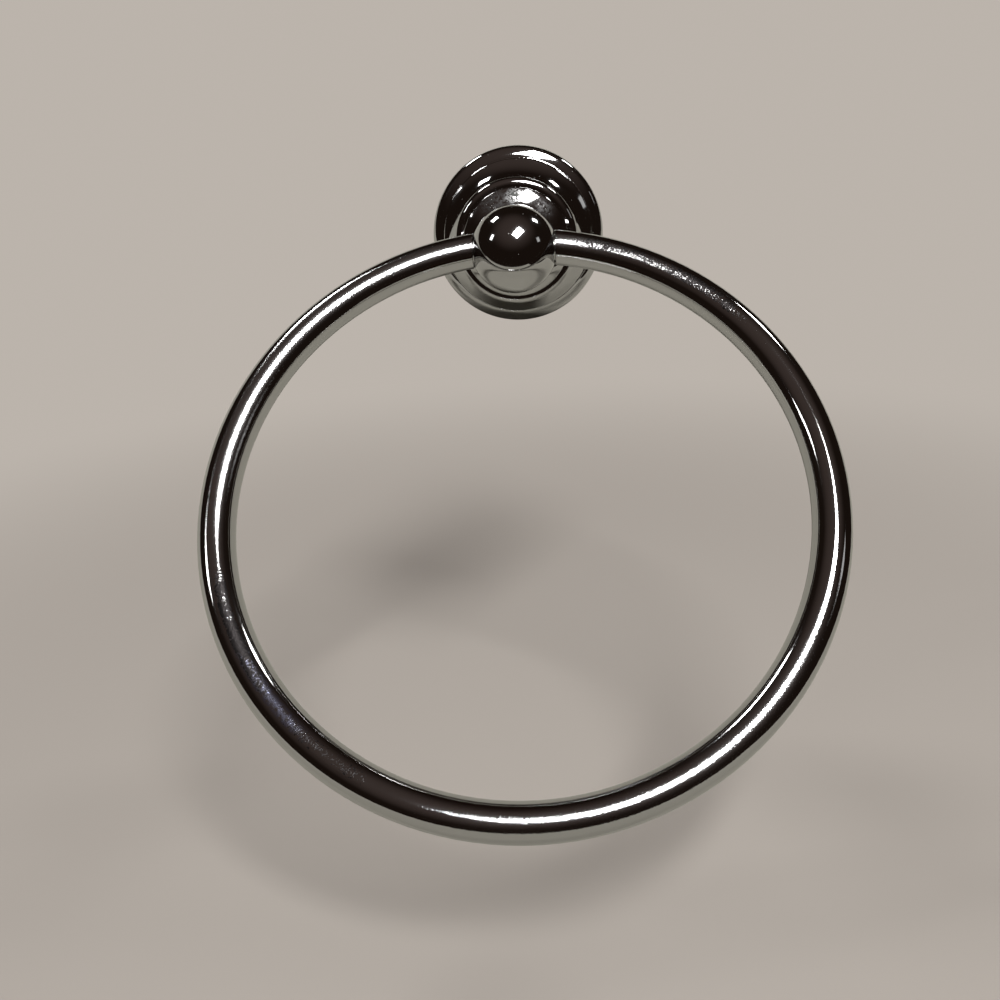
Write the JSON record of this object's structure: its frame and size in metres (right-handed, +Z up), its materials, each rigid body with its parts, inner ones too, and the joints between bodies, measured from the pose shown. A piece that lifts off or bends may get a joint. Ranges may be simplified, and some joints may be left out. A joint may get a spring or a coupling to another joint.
{
  "type": "towel ring",
  "caption": "Wall-mounted towel ring: a round bar bent to a circle swings from a ball head on a stepped bell-shaped pedestal with a concealed wall bracket.",
  "frame": {"origin": "middle of the wall bracket's two screw holes, on the wall plane at the back of the pedestal", "axes": "+Z up, wall plane at y = 0, the pedestal stands out of the wall along -Y, +X along the ring's hinge axis"},
  "size_m": [0.1623, 0.1553, 0.144],
  "materials": {
    "pedestal_chrome": "polished chrome plate on a die casting, lightly smudged",
    "ring_chrome": "polished chrome plate on a steel bar, finely pitted in places",
    "bracket_zinc": "dull zinc plate",
    "screw_steel": "black oxide"
  },
  "bodies": {
    "post": {"pedestal": "pedestal_chrome", "wall_bracket": "bracket_zinc", "set_screw": "screw_steel"},
    "loop": {"ring": "ring_chrome"}
  },
  "joints": [
    {"name": "ring_swing", "type": "hinge", "parent": "post", "child": "loop", "pos_m": [0, -0.0485, 0], "axis": [-1, 0, 0], "range_deg": [-58.5, 154]}
  ]
}
